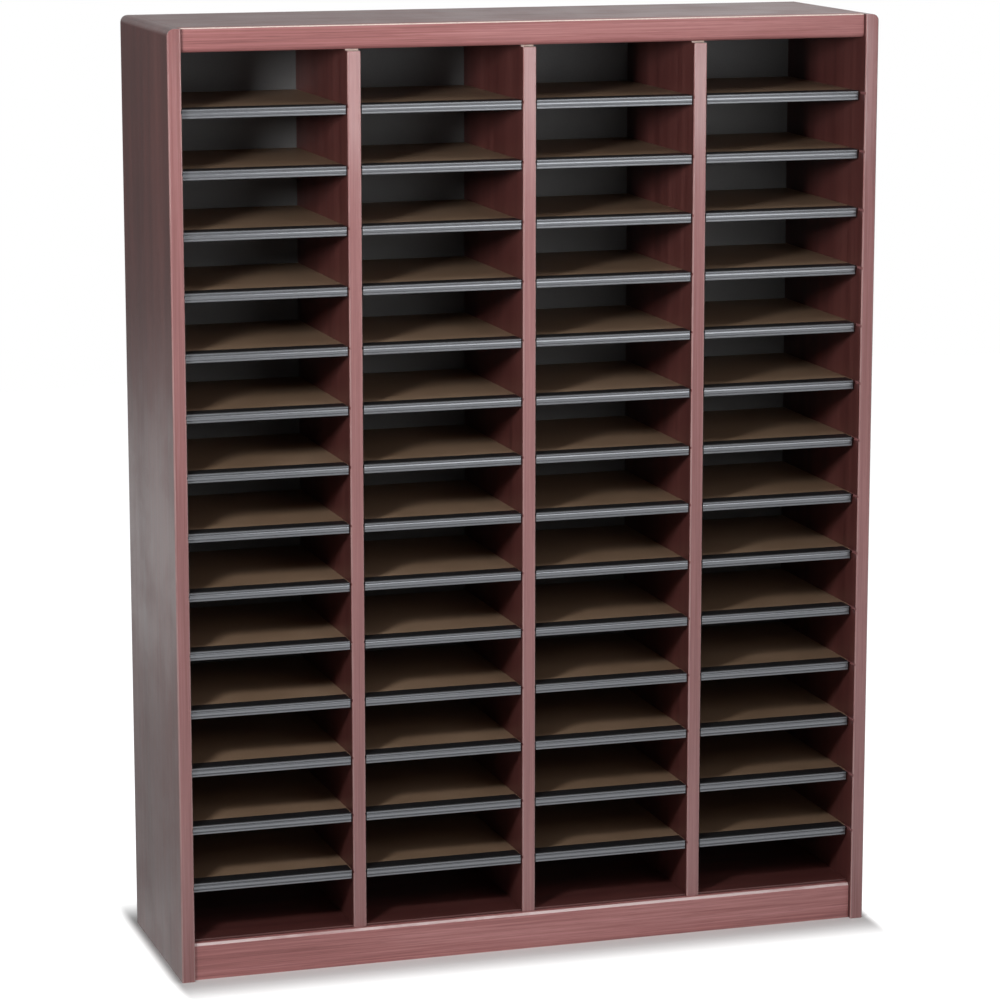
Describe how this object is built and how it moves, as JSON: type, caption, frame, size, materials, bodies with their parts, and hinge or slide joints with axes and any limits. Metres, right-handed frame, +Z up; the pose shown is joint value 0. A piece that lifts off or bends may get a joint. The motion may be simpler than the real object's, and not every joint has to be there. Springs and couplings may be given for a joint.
{
  "type": "pigeonhole mail sorter",
  "caption": "Free-standing mahogany laminate mail sorter with upright dividers, grooved for thin removable shelves with label mouldings that form rows of letter-size pockets.",
  "frame": {"origin": "centre of the cabinet's footprint, on the floor", "axes": "+Z up, the open front faces -Y, +X to the right of someone facing the front"},
  "size_m": [1.0264, 0.2982, 1.327],
  "materials": {
    "mahogany_laminate": "satin mahogany laminate with straight grain",
    "dark_fibreboard": "matt charcoal fibreboard",
    "shelf_hardboard": "smooth brown hardboard with a grey and black plastic label moulding on the front edge"
  },
  "bodies": {
    "cabinet": {"left_side_panel": "mahogany_laminate", "right_side_panel": "mahogany_laminate", "top_panel": "mahogany_laminate", "top_rail": "mahogany_laminate", "bottom_panel": "mahogany_laminate", "base_rail": "mahogany_laminate", "back_panel": "dark_fibreboard", "left_divider": "mahogany_laminate", "centre_divider": "mahogany_laminate", "right_divider": "mahogany_laminate", "full_width_shelf_05": "shelf_hardboard", "full_width_shelf_10": "shelf_hardboard"},
    "column_1_shelf_01": {"column_1_shelf_01": "shelf_hardboard"},
    "column_2_shelf_01": {"column_2_shelf_01": "shelf_hardboard"},
    "column_3_shelf_01": {"column_3_shelf_01": "shelf_hardboard"},
    "column_4_shelf_01": {"column_4_shelf_01": "shelf_hardboard"},
    "column_1_shelf_02": {"column_1_shelf_02": "shelf_hardboard"},
    "column_2_shelf_02": {"column_2_shelf_02": "shelf_hardboard"},
    "column_3_shelf_02": {"column_3_shelf_02": "shelf_hardboard"},
    "column_4_shelf_02": {"column_4_shelf_02": "shelf_hardboard"},
    "column_1_shelf_03": {"column_1_shelf_03": "shelf_hardboard"},
    "column_2_shelf_03": {"column_2_shelf_03": "shelf_hardboard"},
    "column_3_shelf_03": {"column_3_shelf_03": "shelf_hardboard"},
    "column_4_shelf_03": {"column_4_shelf_03": "shelf_hardboard"},
    "column_1_shelf_04": {"column_1_shelf_04": "shelf_hardboard"},
    "column_2_shelf_04": {"column_2_shelf_04": "shelf_hardboard"},
    "column_3_shelf_04": {"column_3_shelf_04": "shelf_hardboard"},
    "column_4_shelf_04": {"column_4_shelf_04": "shelf_hardboard"},
    "column_1_shelf_06": {"column_1_shelf_06": "shelf_hardboard"},
    "column_2_shelf_06": {"column_2_shelf_06": "shelf_hardboard"},
    "column_3_shelf_06": {"column_3_shelf_06": "shelf_hardboard"},
    "column_4_shelf_06": {"column_4_shelf_06": "shelf_hardboard"},
    "column_1_shelf_07": {"column_1_shelf_07": "shelf_hardboard"},
    "column_2_shelf_07": {"column_2_shelf_07": "shelf_hardboard"},
    "column_3_shelf_07": {"column_3_shelf_07": "shelf_hardboard"},
    "column_4_shelf_07": {"column_4_shelf_07": "shelf_hardboard"},
    "column_1_shelf_08": {"column_1_shelf_08": "shelf_hardboard"},
    "column_2_shelf_08": {"column_2_shelf_08": "shelf_hardboard"},
    "column_3_shelf_08": {"column_3_shelf_08": "shelf_hardboard"},
    "column_4_shelf_08": {"column_4_shelf_08": "shelf_hardboard"},
    "column_1_shelf_09": {"column_1_shelf_09": "shelf_hardboard"},
    "column_2_shelf_09": {"column_2_shelf_09": "shelf_hardboard"},
    "column_3_shelf_09": {"column_3_shelf_09": "shelf_hardboard"},
    "column_4_shelf_09": {"column_4_shelf_09": "shelf_hardboard"},
    "column_1_shelf_11": {"column_1_shelf_11": "shelf_hardboard"},
    "column_2_shelf_11": {"column_2_shelf_11": "shelf_hardboard"},
    "column_3_shelf_11": {"column_3_shelf_11": "shelf_hardboard"},
    "column_4_shelf_11": {"column_4_shelf_11": "shelf_hardboard"},
    "column_1_shelf_12": {"column_1_shelf_12": "shelf_hardboard"},
    "column_2_shelf_12": {"column_2_shelf_12": "shelf_hardboard"},
    "column_3_shelf_12": {"column_3_shelf_12": "shelf_hardboard"},
    "column_4_shelf_12": {"column_4_shelf_12": "shelf_hardboard"},
    "column_1_shelf_13": {"column_1_shelf_13": "shelf_hardboard"},
    "column_2_shelf_13": {"column_2_shelf_13": "shelf_hardboard"},
    "column_3_shelf_13": {"column_3_shelf_13": "shelf_hardboard"},
    "column_4_shelf_13": {"column_4_shelf_13": "shelf_hardboard"},
    "column_1_shelf_14": {"column_1_shelf_14": "shelf_hardboard"},
    "column_2_shelf_14": {"column_2_shelf_14": "shelf_hardboard"},
    "column_3_shelf_14": {"column_3_shelf_14": "shelf_hardboard"},
    "column_4_shelf_14": {"column_4_shelf_14": "shelf_hardboard"}
  },
  "joints": [
    {"name": "column_1_shelf_01_slide", "type": "slide", "parent": "cabinet", "child": "column_1_shelf_01", "axis": [0, -1, 0], "range_m": [0, 0.3]},
    {"name": "column_2_shelf_01_slide", "type": "slide", "parent": "cabinet", "child": "column_2_shelf_01", "axis": [0, -1, 0], "range_m": [0, 0.3]},
    {"name": "column_3_shelf_01_slide", "type": "slide", "parent": "cabinet", "child": "column_3_shelf_01", "axis": [0, -1, 0], "range_m": [0, 0.3]},
    {"name": "column_4_shelf_01_slide", "type": "slide", "parent": "cabinet", "child": "column_4_shelf_01", "axis": [0, -1, 0], "range_m": [0, 0.3]},
    {"name": "column_1_shelf_02_slide", "type": "slide", "parent": "cabinet", "child": "column_1_shelf_02", "axis": [0, -1, 0], "range_m": [0, 0.3]},
    {"name": "column_2_shelf_02_slide", "type": "slide", "parent": "cabinet", "child": "column_2_shelf_02", "axis": [0, -1, 0], "range_m": [0, 0.3]},
    {"name": "column_3_shelf_02_slide", "type": "slide", "parent": "cabinet", "child": "column_3_shelf_02", "axis": [0, -1, 0], "range_m": [0, 0.3]},
    {"name": "column_4_shelf_02_slide", "type": "slide", "parent": "cabinet", "child": "column_4_shelf_02", "axis": [0, -1, 0], "range_m": [0, 0.3]},
    {"name": "column_1_shelf_03_slide", "type": "slide", "parent": "cabinet", "child": "column_1_shelf_03", "axis": [0, -1, 0], "range_m": [0, 0.3]},
    {"name": "column_2_shelf_03_slide", "type": "slide", "parent": "cabinet", "child": "column_2_shelf_03", "axis": [0, -1, 0], "range_m": [0, 0.3]},
    {"name": "column_3_shelf_03_slide", "type": "slide", "parent": "cabinet", "child": "column_3_shelf_03", "axis": [0, -1, 0], "range_m": [0, 0.3]},
    {"name": "column_4_shelf_03_slide", "type": "slide", "parent": "cabinet", "child": "column_4_shelf_03", "axis": [0, -1, 0], "range_m": [0, 0.3]},
    {"name": "column_1_shelf_04_slide", "type": "slide", "parent": "cabinet", "child": "column_1_shelf_04", "axis": [0, -1, 0], "range_m": [0, 0.3]},
    {"name": "column_2_shelf_04_slide", "type": "slide", "parent": "cabinet", "child": "column_2_shelf_04", "axis": [0, -1, 0], "range_m": [0, 0.3]},
    {"name": "column_3_shelf_04_slide", "type": "slide", "parent": "cabinet", "child": "column_3_shelf_04", "axis": [0, -1, 0], "range_m": [0, 0.3]},
    {"name": "column_4_shelf_04_slide", "type": "slide", "parent": "cabinet", "child": "column_4_shelf_04", "axis": [0, -1, 0], "range_m": [0, 0.3]},
    {"name": "column_1_shelf_06_slide", "type": "slide", "parent": "cabinet", "child": "column_1_shelf_06", "axis": [0, -1, 0], "range_m": [0, 0.3]},
    {"name": "column_2_shelf_06_slide", "type": "slide", "parent": "cabinet", "child": "column_2_shelf_06", "axis": [0, -1, 0], "range_m": [0, 0.3]},
    {"name": "column_3_shelf_06_slide", "type": "slide", "parent": "cabinet", "child": "column_3_shelf_06", "axis": [0, -1, 0], "range_m": [0, 0.3]},
    {"name": "column_4_shelf_06_slide", "type": "slide", "parent": "cabinet", "child": "column_4_shelf_06", "axis": [0, -1, 0], "range_m": [0, 0.3]},
    {"name": "column_1_shelf_07_slide", "type": "slide", "parent": "cabinet", "child": "column_1_shelf_07", "axis": [0, -1, 0], "range_m": [0, 0.3]},
    {"name": "column_2_shelf_07_slide", "type": "slide", "parent": "cabinet", "child": "column_2_shelf_07", "axis": [0, -1, 0], "range_m": [0, 0.3]},
    {"name": "column_3_shelf_07_slide", "type": "slide", "parent": "cabinet", "child": "column_3_shelf_07", "axis": [0, -1, 0], "range_m": [0, 0.3]},
    {"name": "column_4_shelf_07_slide", "type": "slide", "parent": "cabinet", "child": "column_4_shelf_07", "axis": [0, -1, 0], "range_m": [0, 0.3]},
    {"name": "column_1_shelf_08_slide", "type": "slide", "parent": "cabinet", "child": "column_1_shelf_08", "axis": [0, -1, 0], "range_m": [0, 0.3]},
    {"name": "column_2_shelf_08_slide", "type": "slide", "parent": "cabinet", "child": "column_2_shelf_08", "axis": [0, -1, 0], "range_m": [0, 0.3]},
    {"name": "column_3_shelf_08_slide", "type": "slide", "parent": "cabinet", "child": "column_3_shelf_08", "axis": [0, -1, 0], "range_m": [0, 0.3]},
    {"name": "column_4_shelf_08_slide", "type": "slide", "parent": "cabinet", "child": "column_4_shelf_08", "axis": [0, -1, 0], "range_m": [0, 0.3]},
    {"name": "column_1_shelf_09_slide", "type": "slide", "parent": "cabinet", "child": "column_1_shelf_09", "axis": [0, -1, 0], "range_m": [0, 0.3]},
    {"name": "column_2_shelf_09_slide", "type": "slide", "parent": "cabinet", "child": "column_2_shelf_09", "axis": [0, -1, 0], "range_m": [0, 0.3]},
    {"name": "column_3_shelf_09_slide", "type": "slide", "parent": "cabinet", "child": "column_3_shelf_09", "axis": [0, -1, 0], "range_m": [0, 0.3]},
    {"name": "column_4_shelf_09_slide", "type": "slide", "parent": "cabinet", "child": "column_4_shelf_09", "axis": [0, -1, 0], "range_m": [0, 0.3]},
    {"name": "column_1_shelf_11_slide", "type": "slide", "parent": "cabinet", "child": "column_1_shelf_11", "axis": [0, -1, 0], "range_m": [0, 0.3]},
    {"name": "column_2_shelf_11_slide", "type": "slide", "parent": "cabinet", "child": "column_2_shelf_11", "axis": [0, -1, 0], "range_m": [0, 0.3]},
    {"name": "column_3_shelf_11_slide", "type": "slide", "parent": "cabinet", "child": "column_3_shelf_11", "axis": [0, -1, 0], "range_m": [0, 0.3]},
    {"name": "column_4_shelf_11_slide", "type": "slide", "parent": "cabinet", "child": "column_4_shelf_11", "axis": [0, -1, 0], "range_m": [0, 0.3]},
    {"name": "column_1_shelf_12_slide", "type": "slide", "parent": "cabinet", "child": "column_1_shelf_12", "axis": [0, -1, 0], "range_m": [0, 0.3]},
    {"name": "column_2_shelf_12_slide", "type": "slide", "parent": "cabinet", "child": "column_2_shelf_12", "axis": [0, -1, 0], "range_m": [0, 0.3]},
    {"name": "column_3_shelf_12_slide", "type": "slide", "parent": "cabinet", "child": "column_3_shelf_12", "axis": [0, -1, 0], "range_m": [0, 0.3]},
    {"name": "column_4_shelf_12_slide", "type": "slide", "parent": "cabinet", "child": "column_4_shelf_12", "axis": [0, -1, 0], "range_m": [0, 0.3]},
    {"name": "column_1_shelf_13_slide", "type": "slide", "parent": "cabinet", "child": "column_1_shelf_13", "axis": [0, -1, 0], "range_m": [0, 0.3]},
    {"name": "column_2_shelf_13_slide", "type": "slide", "parent": "cabinet", "child": "column_2_shelf_13", "axis": [0, -1, 0], "range_m": [0, 0.3]},
    {"name": "column_3_shelf_13_slide", "type": "slide", "parent": "cabinet", "child": "column_3_shelf_13", "axis": [0, -1, 0], "range_m": [0, 0.3]},
    {"name": "column_4_shelf_13_slide", "type": "slide", "parent": "cabinet", "child": "column_4_shelf_13", "axis": [0, -1, 0], "range_m": [0, 0.3]},
    {"name": "column_1_shelf_14_slide", "type": "slide", "parent": "cabinet", "child": "column_1_shelf_14", "axis": [0, -1, 0], "range_m": [0, 0.3]},
    {"name": "column_2_shelf_14_slide", "type": "slide", "parent": "cabinet", "child": "column_2_shelf_14", "axis": [0, -1, 0], "range_m": [0, 0.3]},
    {"name": "column_3_shelf_14_slide", "type": "slide", "parent": "cabinet", "child": "column_3_shelf_14", "axis": [0, -1, 0], "range_m": [0, 0.3]},
    {"name": "column_4_shelf_14_slide", "type": "slide", "parent": "cabinet", "child": "column_4_shelf_14", "axis": [0, -1, 0], "range_m": [0, 0.3]}
  ]
}
